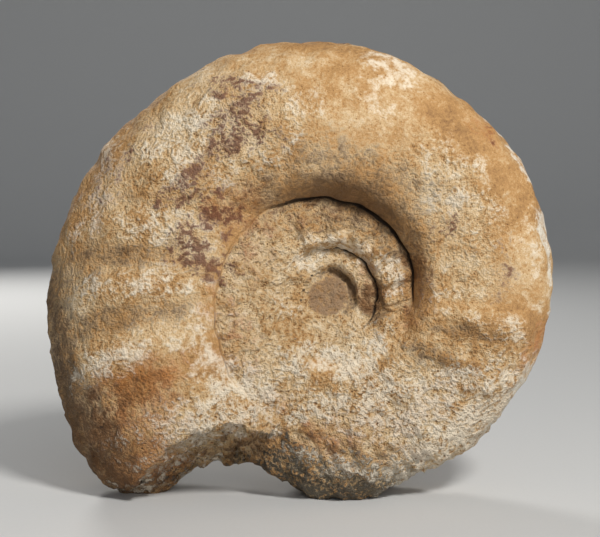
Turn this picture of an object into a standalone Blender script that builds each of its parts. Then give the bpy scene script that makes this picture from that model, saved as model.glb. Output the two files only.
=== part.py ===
"""A large ammonite fossil: the stone cast of a coiled shell, standing on its rim.

The coil lies in the XZ plane and its axis is along Y. The shown flank faces -Y. The shell winds out
anticlockwise, seen from the front, and ends in a broken lip at the lower left. The fossil rests on two worn
feet: one under the coil and one under the broken lip. It is one stone, so it is one object.

Angles are in degrees about the coil's centre, from +X towards +Z. They run on as the shell winds: an angle
less 360 is the same place one turn earlier, nearer the centre. Heights are measured along Y from the
coil's middle plane out to a flank.
"""

import bmesh
import bpy
import numpy as np
from mathutils import Vector, noise

# Driving dimensions, in metres. The rim's distance from the centre grows by RIM_GROWTH with each turn.
RIM_RADIUS = 0.1295
RIM_GROWTH = 1.753
HALF_BREADTH_START, HALF_BREADTH_SHARE = 0.0107, 0.20
COIL_HEIGHT = 0.1205

TURN = 360.0
LAST_ANGLE = 250.0
# The turns inside the outer two, counted back from the last.
INNER_TURNS = (3, 2)

# The seam between a turn and the next one inside it: angles, and distances from the centre.
SEAM_ANGLES = (-1080, -720, -430, -360, -270, -180, -90, 0, 90, 140, 180, 250)
SEAM_RADII = (0.0050, 0.0105, 0.0235, 0.0236, 0.0280, 0.0300, 0.0368, 0.0452, 0.0566, 0.0655, 0.0690, 0.0800)

# Swellings and worn flats of the rim: middle angle, half width, and height, which is negative for a flat.
RIM_SWELLINGS = (
    (134.0, 16.0, -0.0022),
    (57.0, 24.0, -0.0034),
    (20.0, 16.0, -0.0015),
    (-52.0, 16.0, 0.0030),
    (-90.0, 26.0, 0.0100),
    (-118.0, 18.0, 0.0030),
)

# The broken end, from the rim in to the seam: x, z, depth towards the front, and how high its front face is.
BROKEN_END = (
    (-0.1432, -0.1105, 0.000, 0.010),
    (-0.1290, -0.1205, 0.006, 0.017),
    (-0.1110, -0.1240, 0.006, 0.021),
    (-0.0850, -0.1075, 0.001, 0.026),
    (-0.0715, -0.1030, 0.001, 0.032),
    (-0.0570, -0.1040, 0.003, 0.041),
    (-0.0500, -0.1005, 0.000, 0.043),
    (-0.0400, -0.0880, 0.024, 0.046),
    (-0.0335, -0.0805, 0.030, 0.020),
    (-0.0293, -0.0690, 0.032, 0.006),
)
BROKEN_OUTER = 6
BREAK_RISE = 0.050
BACK_BREAK_SLOPE = 3.2
BREAK_CURVE = 1.4
BREAK_ROUGHNESS = 0.0036
BREAK_LUMP, BREAK_CHIP = 0.011, 0.005
BREAK_EDGE = 0.004
BREAK_LIP = 0.0005
BREAK_FROM = 190.0

# Low ribs across the outer turn: angle, sweep towards the lip from seam to rim, half width, and height.
RIBS = (
    (-100.0, -6.0, 8.0, 0.0016),
    (-76.0, -6.0, 8.0, 0.0018),
    (-52.0, -5.0, 8.0, 0.0020),
    (-27.0, -4.0, 7.0, 0.0026),
    (-6.0, -4.0, 7.0, 0.0032),
    (16.0, -3.0, 8.0, 0.0010),
    (138.0, 8.0, 8.0, 0.0012),
    (154.0, 10.0, 7.5, 0.0026),
    (172.0, 8.0, 7.5, 0.0034),
    (193.0, 3.0, 8.0, 0.0038),
    (214.0, 0.0, 8.0, 0.0026),
)
# They rise out of the wall at the seam and fade over the rim, as shares of the turn's width.
RIB_START, RIB_FULL, RIB_FADE = 0.1, 0.45, 0.25
INNER_RIB_SPACING = 24.0
INNER_RIB_PHASE = 19.0
INNER_RIB_HEIGHT = 0.0013
INNER_RIB_MIDDLE, INNER_RIB_REACH = 0.55, 0.6
INNER_RIB_FIRST, INNER_RIB_CLEAR = -480.0, -380.0

# A flank rounds over to the rim from a shoulder, a share of the turn's width in from it. The early part of
# the outer turn is worn boxy, its foot most of all, and the late part is round.
ROUND_SHOULDER, BOXY_SHOULDER = 0.68, 0.44
ROUND_POWER, BOXY_POWER, FOOT_POWER = 2.0, 2.9, 1.3
BOXY_UNTIL, ROUND_FROM = 10.0, 90.0
FOOT_ANGLE, FOOT_SPREAD = -90.0, 50.0
FULLNESS = 2.2

# The wall down to the seam, by angle: how high its foot is and how wide it is, as shares of the turn.
WALL_ANGLES = (-1080, 60, 100, 140, 180, 215, 250)
WALL_FOOTS = (0.60, 0.60, 0.62, 0.82, 0.93, 0.86, 0.70)
WALL_WIDTHS = (0.20, 0.20, 0.22, 0.30, 0.40, 0.45, 0.45)
HIDDEN_WALL_SLOPE = 6.0
BEYOND_RIM = -0.1

# A turn that the next one covers arches down to the seam between them, by a share of its half breadth.
ARCH_DROP, ARCH_START, ARCH_MOST = 0.16, 0.45, 1.5
COVER_FADE = 25.0

# The stone that fills the left and lower part of the hollow, as a dish about the centre, by angle on the
# front: how steeply it rises, and the height it levels out at.
DISH_ANGLES = (-110, -60, -15, 40, 100, 150, 190, 225, 250)
DISH_SLOPES = (0.42, 0.42, 0.16, 0.06, 0.10, 0.34, 0.40, 0.40, 0.42)
DISH_LEVELS = (0.0318, 0.0312, 0.0300, 0.0300, 0.0330, 0.0380, 0.0402, 0.0368, 0.0318)
DISH_MIDDLE = 0.0165
DISH_RADIUS = 0.084
DISH_ROUNDING = 0.006
BACK_SHALLOWING = 0.35
# The filling runs under the turn inside the hollow at first, and from these angles on it runs over it.
FILL_OVER, FILL_UNDER = 160.0, 200.0

# How widely a turn's surface runs into what lies inside it. The seam is sharp where it is clear, wider where
# it is worn and at the broken end, and widest where the filling buries it.
SHARP_SEAM, WORN_SEAM, BROKEN_SEAM, BURIED_SEAM = 0.0006, 0.0030, 0.0070, 0.0090
WORN_FROM, WORN_FULL, BROKEN_FROM = 150.0, 220.0, 222.0
BURIED_SLOPES = (0.1, 0.4)
BURIED_RADII = (0.04, 0.06)
BURIED_UNTIL, CLEAR_FROM = -40.0, -10.0

NUCLEUS_RADIUS = 0.0120
NUCLEUS_HEIGHT, NUCLEUS_CROWN = 0.0178, 0.0012
NUCLEUS_X = -0.0036
NUCLEUS_TILT, NUCLEUS_EDGE_SLOPE = 0.09, 2.0
# The moat round the nucleus is deepest at its upper right.
MOAT_DEPTH, MOAT_RADIUS, MOAT_HALF_WIDTH = 0.0036, 0.0142, 0.0040
MOAT_ANGLE, MOAT_SPREAD = 35.0, 130.0

# Weathered unevenness of the whole surface: the size of its lumps and how high they are.
LUMPS = ((0.045, 0.0011), (0.014, 0.0005))
# They push the surface away from the centre, and this much more across the flanks.
FLANK_LEAN = 3.0

# The first, fine mesh has its slices around the coil and its rings from each pole to the rim.
SLICES, RINGS = 420, 110
TRIANGLES = 9400
# How near the rim's own ring a place has to be to count as on it, as a share of the way from a pole.
RIM_SLACK = 0.0001

GROUND_SLAB = 1.0
PALE_OCHRE = (0.52, 0.36, 0.19, 1.0)
DULL_ROUGHNESS = 0.9


def smooth_curve(x, xs, ys):
    """The smooth curve through the points xs, ys, read at x."""
    xs = np.asarray(xs, float)
    ys = np.asarray(ys, float)
    slopes = np.gradient(ys, xs)
    i = np.clip(np.searchsorted(xs, x) - 1, 0, len(xs) - 2)
    width = xs[i + 1] - xs[i]
    t = np.clip((x - xs[i]) / width, 0.0, 1.0)
    rise = ys[i + 1] - ys[i]
    bend = slopes[i] * width - rise
    bend_back = rise - slopes[i + 1] * width
    return ys[i] + t * rise + t * (1 - t) * ((1 - t) * bend + t * bend_back)


def ramp(x, start, end):
    """A smooth rise from 0 at start to 1 at end."""
    t = np.clip((x - start) / (end - start), 0.0, 1.0)
    return t * t * (3 - 2 * t)


def bump(x, middle, half_width):
    """A smooth hill of height 1 at middle that is 0 beyond half_width either side."""
    t = np.clip(np.abs(x - middle) / half_width, 0.0, 1.0)
    return (1 - t * t) ** 2


def smooth_max(a, b, blend):
    """The greater of a and b, with the crease between them rounded over blend."""
    near = np.clip(blend - np.abs(a - b), 0.0, None) / blend
    return np.maximum(a, b) + near * near * blend / 4


def lumps(points, size):
    """Smooth random lumps between -1 and 1, of the given size."""
    return np.array([noise.noise(Vector(point)) for point in points / size])


def rim(angle):
    """Distance from the centre to the rim."""
    radius = RIM_RADIUS * RIM_GROWTH ** (angle / TURN)
    for middle, half_width, height in RIM_SWELLINGS:
        radius = radius + height * bump(angle, middle, half_width)
    return radius


def seam(angle):
    """Distance from the centre to the seam with the next turn inside."""
    return smooth_curve(angle, SEAM_ANGLES, SEAM_RADII)


def outline(angle):
    """Distance from the centre to the fossil's outer edge, and which of it is broken."""
    points = np.array(BROKEN_END[:BROKEN_OUTER + 1])[:, :2]
    turned = np.degrees(np.arctan2(points[:, 1], points[:, 0])) + TURN
    radius = np.where(angle < turned[0], rim(angle), rim(angle - TURN))
    dx, dz = np.cos(np.radians(angle)), np.sin(np.radians(angle))
    for i in range(BROKEN_OUTER):
        on_edge = (angle >= turned[i]) & (angle < turned[i + 1])
        (ax, az), (sx, sz) = points[i], points[i + 1] - points[i]
        radius = np.where(on_edge, (ax * sz - az * sx) / (dx * sz - dz * sx), radius)
    return radius, (angle >= turned[0]) & (angle < turned[-1])


def break_place(x, z):
    """Signed distance into the shell from its broken end, and that end's depth and front height there."""
    points = np.array(BROKEN_END)
    nearest = np.full(x.shape, 1.0)
    side = np.ones(x.shape)
    depth = np.zeros(x.shape)
    height = np.ones(x.shape)
    for (ax, az, *start), (bx, bz, *end) in zip(points[:-1], points[1:]):
        dx, dz = bx - ax, bz - az
        t = np.clip(((x - ax) * dx + (z - az) * dz) / (dx * dx + dz * dz), 0.0, 1.0)
        gap = np.hypot(x - ax - t * dx, z - az - t * dz)
        closer = gap < nearest
        nearest = np.where(closer, gap, nearest)
        side = np.where(closer, np.sign(dx * (z - az) - dz * (x - ax)), side)
        depth = np.where(closer, start[0] + t * (end[0] - start[0]), depth)
        height = np.where(closer, start[1] + t * (end[1] - start[1]), height)
    return nearest * side, depth, height


def rib_relief(angle, within):
    """Height of the outer turn's ribs. They fade at the seam and over the rim."""
    ribs = np.zeros(angle.shape)
    for middle, sweep, half_width, peak in RIBS:
        ribs = ribs + peak * bump(angle - sweep * within, middle, half_width)
    return ribs * ramp(within, RIB_START, RIB_FULL) * ramp(1 - within, 0.0, RIB_FADE)


def inner_relief(angle, across, half):
    """Height of the close ribs of the turns inside, and their arch down to the seam outside them."""
    wave = np.cos(np.radians((angle - INNER_RIB_PHASE) * TURN / INNER_RIB_SPACING))
    fade = bump(across, INNER_RIB_MIDDLE, INNER_RIB_REACH) * ramp(angle, INNER_RIB_FIRST, INNER_RIB_CLEAR)
    arch = np.clip((across - ARCH_START) / (1 - ARCH_START), 0.0, ARCH_MOST) ** 2
    return INNER_RIB_HEIGHT * wave * fade - ARCH_DROP * half * arch


def flank_profile(angle, share):
    """The flank's rounding and the wall at its foot, as a share of the turn's half breadth."""
    boxy = 1 - ramp(angle, BOXY_UNTIL, ROUND_FROM)
    shoulder = ROUND_SHOULDER + (BOXY_SHOULDER - ROUND_SHOULDER) * boxy
    power = ROUND_POWER + (BOXY_POWER - ROUND_POWER) * boxy
    power = power + FOOT_POWER * bump(angle, FOOT_ANGLE, FOOT_SPREAD)
    inward = np.clip((1 - share) / shoulder, 0.0, 1.0)
    rounding = (1 - (1 - inward) ** FULLNESS) ** (1 / power)
    foot = smooth_curve(angle, WALL_ANGLES, WALL_FOOTS)
    width = smooth_curve(angle, WALL_ANGLES, WALL_WIDTHS)
    wall = foot + (1 - foot) * (1 - (1 - np.clip(share / width, 0.0, 1.0)) ** FULLNESS)
    return rounding * wall, foot


def whorl_height(radius, angle):
    """Height of one turn's flank at a distance from the centre."""
    outer, inner = rim(angle), seam(angle)
    half = HALF_BREADTH_START + HALF_BREADTH_SHARE * outer
    share = (radius - inner) / (outer - inner)
    profile, foot = flank_profile(angle, share)
    height = half * profile + rib_relief(angle, np.clip(share, 0.0, 1.0))
    covered = 1 - ramp(angle, LAST_ANGLE - TURN - COVER_FADE, LAST_ANGLE - TURN)
    across = (radius - inner) / (seam(angle + TURN) - inner)
    height = height + covered * inner_relief(angle, across, half)
    height = np.where(share < 0, half * foot + HIDDEN_WALL_SLOPE * (radius - inner), height)
    return np.where(share > 1, BEYOND_RIM, height)


def dish_height(radius, angle, front):
    """Height of the stone that fills part of the hollow at the centre."""
    slope = smooth_curve(angle, DISH_ANGLES, DISH_SLOPES)
    level = smooth_curve(angle, DISH_ANGLES, DISH_LEVELS)
    if not front:
        slope = slope * BACK_SHALLOWING
    rising = DISH_MIDDLE + slope * radius
    height = -smooth_max(-rising, -level, DISH_ROUNDING)
    return height - HIDDEN_WALL_SLOPE * np.clip(radius - DISH_RADIUS, 0.0, None)


def seam_blend(radius, angle):
    """How widely a turn's surface runs into what lies inside it."""
    fill = smooth_curve((angle - LAST_ANGLE) % TURN + LAST_ANGLE - TURN, DISH_ANGLES, DISH_SLOPES)
    buried = ramp(fill, *BURIED_SLOPES) * (1 - ramp(radius, *BURIED_RADII))
    buried = buried * (1 - ramp(angle, BURIED_UNTIL, CLEAR_FROM))
    blend = SHARP_SEAM + (BURIED_SEAM - SHARP_SEAM) * buried
    blend = blend + (WORN_SEAM - SHARP_SEAM) * ramp(angle, WORN_FROM, WORN_FULL)
    return blend + (BROKEN_SEAM - WORN_SEAM) * ramp(angle, BROKEN_FROM, LAST_ANGLE)


def add_turn(height, radius, angle):
    return smooth_max(height, whorl_height(radius, angle), seam_blend(radius, angle))


def nucleus_height(x, z):
    """The nucleus is a low round plug, a little to the left of the centre."""
    from_middle = np.hypot(x - NUCLEUS_X, z)
    crown = NUCLEUS_CROWN * (from_middle / NUCLEUS_RADIUS) ** 2
    plug = NUCLEUS_HEIGHT - crown - NUCLEUS_TILT * (x - NUCLEUS_X)
    return plug - NUCLEUS_EDGE_SLOPE * np.clip(from_middle - NUCLEUS_RADIUS, 0.0, None)


def moat_depth(x, z):
    """Depth of the moat round the nucleus."""
    toward = np.degrees(np.arctan2(z, x - NUCLEUS_X))
    moat = bump(np.hypot(x - NUCLEUS_X, z), MOAT_RADIUS, MOAT_HALF_WIDTH)
    return MOAT_DEPTH * moat * bump(toward, MOAT_ANGLE, MOAT_SPREAD)


def broken_height(x, z, front):
    """Height of the broken face, which cuts off the last turn. Beyond it there is nothing of that turn."""
    into, depth, face = break_place(x, z)
    inside = np.clip(into, 0.0, None)
    if front:
        height = depth + BREAK_RISE * (inside / face) ** BREAK_CURVE
    else:
        height = -depth + BACK_BREAK_SLOPE * inside
    points = np.stack([x, height / 2, z], axis=1)
    rough = BREAK_ROUGHNESS * (lumps(points, BREAK_LUMP) + lumps(points, BREAK_CHIP) / 2)
    height = height + rough * ramp(inside, 0.0, BREAK_EDGE)
    return height + HIDDEN_WALL_SLOPE * np.clip(into + BREAK_LIP, None, 0.0)


def flank_height(x, z, angle, front):
    """Height of the front or back flank."""
    radius = np.hypot(x, z)
    height = nucleus_height(x, z)
    for turn in INNER_TURNS:
        height = add_turn(height, radius, angle - turn * TURN)
    # The filling runs up to the next turn out, which past the broken end is the bare one.
    dish = dish_height(radius, angle, front)
    under = add_turn(smooth_max(height, dish, BURIED_SEAM / 2), radius, angle - TURN)
    over = smooth_max(add_turn(height, radius, angle - TURN), dish, BURIED_SEAM / 2)
    height = over + (under - over) * ramp(angle, FILL_OVER, FILL_UNDER) - moat_depth(x, z)
    last = whorl_height(radius, angle)
    near_end = angle > BREAK_FROM
    last[near_end] = np.minimum(last[near_end], broken_height(x[near_end], z[near_end], front))
    return smooth_max(height, last, seam_blend(radius, angle))


def fossil_points(ball):
    """Moves the points of a unit ball, with its poles along Z, onto the fossil."""
    turned = np.degrees(np.arctan2(ball[:, 1], ball[:, 0]))
    angle = np.where(turned < LAST_ANGLE - TURN, turned + TURN, turned)
    tilt = np.arccos(np.clip(ball[:, 2], -1.0, 1.0)) / (np.pi / 2)
    reach = 1 - np.abs(1 - tilt)
    edge_radius, broken = outline(angle)
    # Rings are closer together towards the rim, where the surface turns.
    radius = edge_radius * np.sin(reach * np.pi / 2)
    x = radius * np.cos(np.radians(angle))
    z = radius * np.sin(np.radians(angle))
    y = np.where(broken, -break_place(x, z)[1], 0.0)
    front = tilt < 1 - RIM_SLACK
    back = tilt > 1 + RIM_SLACK
    y[front] = -flank_height(x[front], z[front], angle[front], True)
    y[back] = flank_height(x[back], z[back], angle[back], False)
    points = np.stack([x, y, z], axis=1)
    outwards = points * (1.0, FLANK_LEAN, 1.0)
    outwards = outwards / np.linalg.norm(outwards, axis=1)[:, None]
    for size, height in LUMPS:
        points = points + outwards * (height * lumps(points, size))[:, None]
    return points


def fine_mesh():
    """The whole surface as a fine closed mesh, with the coil's centre at the origin."""
    mesh = bpy.data.meshes.new("ammonite")
    ball = bmesh.new()
    bmesh.ops.create_uvsphere(ball, u_segments=SLICES, v_segments=2 * RINGS, radius=1.0)
    ball.to_mesh(mesh)
    ball.free()
    directions = np.empty(len(mesh.vertices) * 3, np.float32)
    mesh.vertices.foreach_get("co", directions)
    points = fossil_points(directions.reshape(-1, 3).astype(float))
    mesh.vertices.foreach_set("co", points.astype(np.float32).ravel())
    mesh.update()
    return mesh


def ground_cutter():
    """A slab under the standing fossil. It cuts the two worn feet flat."""
    mesh = bpy.data.meshes.new("ground_cutter")
    slab = bmesh.new()
    bmesh.ops.create_cube(slab, size=GROUND_SLAB)
    bmesh.ops.translate(slab, vec=(0.0, 0.0, -GROUND_SLAB / 2 - COIL_HEIGHT), verts=slab.verts)
    slab.to_mesh(mesh)
    slab.free()
    cutter = bpy.data.objects.new("ground_cutter", mesh)
    cutter.hide_render = True
    cutter.display_type = "WIRE"
    return cutter


def limestone():
    material = bpy.data.materials.new("ochre_limestone")
    material.use_nodes = True
    shader = material.node_tree.nodes["Principled BSDF"]
    shader.inputs["Base Color"].default_value = PALE_OCHRE
    shader.inputs["Roughness"].default_value = DULL_ROUGHNESS
    shader.inputs["Metallic"].default_value = 0.0
    return material


def build_fossil(frame):
    mesh = fine_mesh()
    fossil = bpy.data.objects.new("ammonite", mesh)
    cutter = ground_cutter()
    for thing in (fossil, cutter):
        thing.parent = frame
        bpy.context.scene.collection.objects.link(thing)
    mesh.materials.append(limestone())
    mesh.shade_smooth()
    thinning = fossil.modifiers.new("thin_mesh", "DECIMATE")
    thinning.ratio = TRIANGLES / (4 * SLICES * RINGS)
    feet = fossil.modifiers.new("worn_feet", "BOOLEAN")
    feet.operation = "DIFFERENCE"
    feet.object = cutter
    return fossil


def main():
    for old in list(bpy.data.objects):
        bpy.data.objects.remove(old)
    frame = bpy.data.objects.new("fossil_frame", None)
    bpy.context.scene.collection.objects.link(frame)
    fossil = build_fossil(frame)
    # The box of the standing fossil is centred on the origin, with its feet at height 0.
    whole = fossil.evaluated_get(bpy.context.evaluated_depsgraph_get())
    corners = np.array([vertex.co for vertex in whole.data.vertices])
    middle = (corners.min(axis=0) + corners.max(axis=0)) / 2
    frame.location = (-middle[0], -middle[1], COIL_HEIGHT)


main()
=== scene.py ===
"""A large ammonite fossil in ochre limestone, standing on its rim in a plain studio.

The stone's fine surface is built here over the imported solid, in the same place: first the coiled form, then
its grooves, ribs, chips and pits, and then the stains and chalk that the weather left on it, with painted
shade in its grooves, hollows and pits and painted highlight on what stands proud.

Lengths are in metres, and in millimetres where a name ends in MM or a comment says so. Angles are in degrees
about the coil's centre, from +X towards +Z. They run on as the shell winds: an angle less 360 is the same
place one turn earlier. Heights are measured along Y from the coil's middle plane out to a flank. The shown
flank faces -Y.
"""

import math

import bpy
import numpy as np
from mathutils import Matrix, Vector, noise


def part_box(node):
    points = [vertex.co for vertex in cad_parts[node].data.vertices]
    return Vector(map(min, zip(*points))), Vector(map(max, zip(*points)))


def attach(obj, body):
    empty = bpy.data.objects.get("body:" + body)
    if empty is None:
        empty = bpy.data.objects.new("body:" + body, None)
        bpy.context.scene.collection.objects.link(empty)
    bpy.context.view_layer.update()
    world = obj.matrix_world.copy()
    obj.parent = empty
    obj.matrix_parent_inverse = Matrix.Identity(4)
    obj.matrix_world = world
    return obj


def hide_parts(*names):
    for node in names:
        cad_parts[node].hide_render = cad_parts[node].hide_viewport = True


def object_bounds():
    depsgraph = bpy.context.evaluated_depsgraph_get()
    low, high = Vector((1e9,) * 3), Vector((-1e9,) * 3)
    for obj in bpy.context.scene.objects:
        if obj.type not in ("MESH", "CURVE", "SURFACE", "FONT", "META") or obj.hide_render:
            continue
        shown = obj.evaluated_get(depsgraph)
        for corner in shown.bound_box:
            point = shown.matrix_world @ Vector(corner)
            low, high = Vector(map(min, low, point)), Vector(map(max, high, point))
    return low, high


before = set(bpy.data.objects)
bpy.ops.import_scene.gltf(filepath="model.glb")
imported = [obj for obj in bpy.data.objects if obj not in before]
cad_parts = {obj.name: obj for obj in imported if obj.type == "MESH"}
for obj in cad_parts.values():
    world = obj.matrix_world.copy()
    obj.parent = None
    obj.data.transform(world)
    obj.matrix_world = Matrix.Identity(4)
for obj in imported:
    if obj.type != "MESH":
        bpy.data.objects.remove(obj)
cad_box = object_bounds()

MM = 0.001

# ---------------------------------------------------------------------------------------------------------
# The coiled form
# ---------------------------------------------------------------------------------------------------------

# The rim is this far out at angle 0 and grows by this much each turn. Half the breadth grows with it.
RIM_RADIUS = 0.1295
RIM_GROWTH = 1.753
HALF_BREADTH_START, HALF_BREADTH_SHARE = 0.0107, 0.20
# The centre's height over the floor.
COIL_HEIGHT = 0.1205

TURN = 360.0
LAST_ANGLE = 250.0
# The two turns next to the nucleus, counted back from the outer one, innermost first.
INNER_TURNS = (3, 2)

# The seam between a turn and the next one inside it: angles, and distances from the centre.
SEAM_ANGLES = (-1080, -720, -430, -360, -270, -180, -90, 0, 90, 140, 180, 250)
SEAM_RADII = (0.0050, 0.0105, 0.0235, 0.0236, 0.0280, 0.0300, 0.0368, 0.0452, 0.0566, 0.0655, 0.0690, 0.0800)

# Swellings and worn flats of the rim: middle angle, half width, and height, which is negative for a flat.
RIM_SWELLINGS = (
    (134.0, 16.0, -0.0022),
    (57.0, 24.0, -0.0034),
    (20.0, 16.0, -0.0015),
    (-52.0, 16.0, 0.0030),
    (-90.0, 26.0, 0.0100),
    (-118.0, 18.0, 0.0030),
)

# The broken end, from the rim in to the seam: x, z, depth towards the front, and how far into the shell its
# front face reaches.
BROKEN_END = (
    (-0.1432, -0.1105, 0.000, 0.010),
    (-0.1290, -0.1205, 0.006, 0.017),
    (-0.1110, -0.1240, 0.006, 0.021),
    (-0.0850, -0.1075, 0.001, 0.026),
    (-0.0715, -0.1030, 0.001, 0.032),
    (-0.0570, -0.1040, 0.003, 0.041),
    (-0.0500, -0.1005, 0.000, 0.043),
    (-0.0400, -0.0880, 0.024, 0.046),
    (-0.0335, -0.0805, 0.030, 0.020),
    (-0.0293, -0.0690, 0.032, 0.006),
)
# Its corners up to this one are on the outer edge.
BROKEN_OUTER = 6
# Its front face rises by this much over that reach, slowly at first. Its back has one slope. Both are rough.
BREAK_RISE = 0.050
BACK_BREAK_SLOPE = 3.2
BREAK_CURVE = 1.4
BREAK_ROUGHNESS = 0.0036
BREAK_LUMP, BREAK_CHIP = 0.011, 0.005
BREAK_EDGE = 0.004
BREAK_LIP = 0.0005
# It is worked out from this angle on, and shows down to this far under the stone inside it.
BREAK_FROM = 190.0
BREAK_SHOWS = 0.001

# Low ribs across the outer turn: angle, sweep towards the lip from seam to rim, half width, and height.
RIBS = (
    (-100.0, -6.0, 8.0, 0.0016),
    (-76.0, -6.0, 8.0, 0.0018),
    (-52.0, -5.0, 8.0, 0.0020),
    (-27.0, -4.0, 7.0, 0.0026),
    (-6.0, -4.0, 7.0, 0.0032),
    (16.0, -3.0, 8.0, 0.0010),
    (138.0, 8.0, 8.0, 0.0012),
    (154.0, 10.0, 7.5, 0.0026),
    (172.0, 8.0, 7.5, 0.0034),
    (193.0, 3.0, 8.0, 0.0038),
    (214.0, 0.0, 8.0, 0.0026),
)
# They rise out of the wall at the seam and fade over the rim, as shares of the turn's width.
RIB_START, RIB_FULL, RIB_FADE = 0.1, 0.45, 0.25
INNER_RIB_SPACING = 24.0
INNER_RIB_PHASE = 19.0
INNER_RIB_HEIGHT = 0.0022
INNER_RIB_MIDDLE, INNER_RIB_REACH = 0.55, 0.6
INNER_RIB_FIRST, INNER_RIB_CLEAR = -480.0, -380.0

# A flank rounds over to the rim from a shoulder, a share of the turn's width in from it. The early part of
# the outer turn is worn boxy, its foot most of all, and the late part is round.
ROUND_SHOULDER, BOXY_SHOULDER = 0.68, 0.44
ROUND_POWER, BOXY_POWER, FOOT_POWER = 2.0, 2.9, 1.3
BOXY_UNTIL, ROUND_FROM = 10.0, 90.0
FOOT_ANGLE, FOOT_SPREAD = -90.0, 50.0
FULLNESS = 2.2

# The wall down to the seam, by angle: how high its foot is and how wide it is, as shares of the turn.
WALL_ANGLES = (-1080, 60, 100, 140, 180, 215, 250)
WALL_FOOTS = (0.60, 0.60, 0.62, 0.82, 0.93, 0.86, 0.70)
WALL_WIDTHS = (0.20, 0.20, 0.22, 0.30, 0.40, 0.45, 0.45)
HIDDEN_WALL_SLOPE = 6.0
BEYOND_RIM = -0.1

# A turn that the next one covers arches down to the seam between them, by a share of its half breadth.
ARCH_DROP, ARCH_START, ARCH_MOST = 0.16, 0.45, 1.5
COVER_FADE = 25.0

# The stone that fills the left and lower part of the hollow, as a dish about the centre, by angle on the
# front: how steeply it rises, and the height it levels out at.
DISH_ANGLES = (-110, -60, -15, 40, 100, 150, 190, 225, 250)
DISH_SLOPES = (0.42, 0.42, 0.16, 0.06, 0.10, 0.34, 0.40, 0.40, 0.42)
DISH_LEVELS = (0.0318, 0.0312, 0.0300, 0.0300, 0.0330, 0.0380, 0.0402, 0.0368, 0.0318)
DISH_MIDDLE = 0.0165
DISH_RADIUS = 0.084
DISH_ROUNDING = 0.006
BACK_SHALLOWING = 0.35
# The filling runs under the turn inside the hollow at first, and from these angles on it runs over it.
FILL_OVER, FILL_UNDER = 160.0, 200.0

# How widely a turn's surface runs into what lies inside it. The seam is sharp where it is clear, wider where
# it is worn and at the broken end, and widest where the filling buries it.
SHARP_SEAM, WORN_SEAM, BROKEN_SEAM, BURIED_SEAM = 0.0006, 0.0030, 0.0070, 0.0090
WORN_FROM, WORN_FULL, BROKEN_FROM = 150.0, 220.0, 222.0
BURIED_SLOPES = (0.1, 0.4)
BURIED_RADII = (0.04, 0.06)
BURIED_UNTIL, CLEAR_FROM = -40.0, -10.0

NUCLEUS_RADIUS = 0.0120
NUCLEUS_HEIGHT, NUCLEUS_CROWN = 0.0178, 0.0012
NUCLEUS_X = -0.0036
NUCLEUS_TILT, NUCLEUS_EDGE_SLOPE = 0.09, 2.0
# The moat round the nucleus is deepest at its upper right.
MOAT_DEPTH, MOAT_RADIUS, MOAT_HALF_WIDTH = 0.0050, 0.0142, 0.0040
MOAT_ANGLE, MOAT_SPREAD = 35.0, 130.0

# Weathered unevenness of the whole surface: the size of its lumps and how high they are.
LUMPS = ((0.045, 0.0011), (0.014, 0.0005))


def smooth_curve(x, xs, ys):
    """The smooth curve through the points xs, ys, read at x."""
    xs = np.asarray(xs, float)
    ys = np.asarray(ys, float)
    slopes = np.gradient(ys, xs)
    i = np.clip(np.searchsorted(xs, x) - 1, 0, len(xs) - 2)
    width = xs[i + 1] - xs[i]
    t = np.clip((x - xs[i]) / width, 0.0, 1.0)
    rise = ys[i + 1] - ys[i]
    bend = slopes[i] * width - rise
    bend_back = rise - slopes[i + 1] * width
    return ys[i] + t * rise + t * (1 - t) * ((1 - t) * bend + t * bend_back)


def ramp(x, start, end):
    """A smooth rise from 0 at start to 1 at end."""
    t = np.clip((x - start) / (end - start), 0.0, 1.0)
    return t * t * (3 - 2 * t)


def bump(x, middle, half_width):
    """A smooth hill of height 1 at middle that is 0 beyond half_width either side."""
    t = np.clip(np.abs(x - middle) / half_width, 0.0, 1.0)
    return (1 - t * t) ** 2


def smooth_max(a, b, blend):
    """The greater of a and b, with the crease between them rounded over blend."""
    near = np.clip(blend - np.abs(a - b), 0.0, None) / blend
    return np.maximum(a, b) + near * near * blend / 4


def lumps(points, size):
    """Smooth random lumps between -1 and 1, of the given size. Points moved by whole metres get others."""
    return np.array([noise.noise(Vector(point)) for point in points / size])


def rim(angle):
    """Distance from the centre to the rim."""
    radius = RIM_RADIUS * RIM_GROWTH ** (angle / TURN)
    for middle, half_width, height in RIM_SWELLINGS:
        radius = radius + height * bump(angle, middle, half_width)
    return radius


def seam(angle):
    """Distance from the centre to the seam with the next turn inside."""
    return smooth_curve(angle, SEAM_ANGLES, SEAM_RADII)


def outline(angle):
    """Distance from the centre to the fossil's outer edge, and which of it is broken."""
    points = np.array(BROKEN_END[:BROKEN_OUTER + 1])[:, :2]
    turned = np.degrees(np.arctan2(points[:, 1], points[:, 0])) + TURN
    radius = np.where(angle < turned[0], rim(angle), rim(angle - TURN))
    dx, dz = np.cos(np.radians(angle)), np.sin(np.radians(angle))
    for i in range(BROKEN_OUTER):
        on_edge = (angle >= turned[i]) & (angle < turned[i + 1])
        (ax, az), (sx, sz) = points[i], points[i + 1] - points[i]
        radius = np.where(on_edge, (ax * sz - az * sx) / (dx * sz - dz * sx), radius)
    return radius, (angle >= turned[0]) & (angle < turned[-1])


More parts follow.
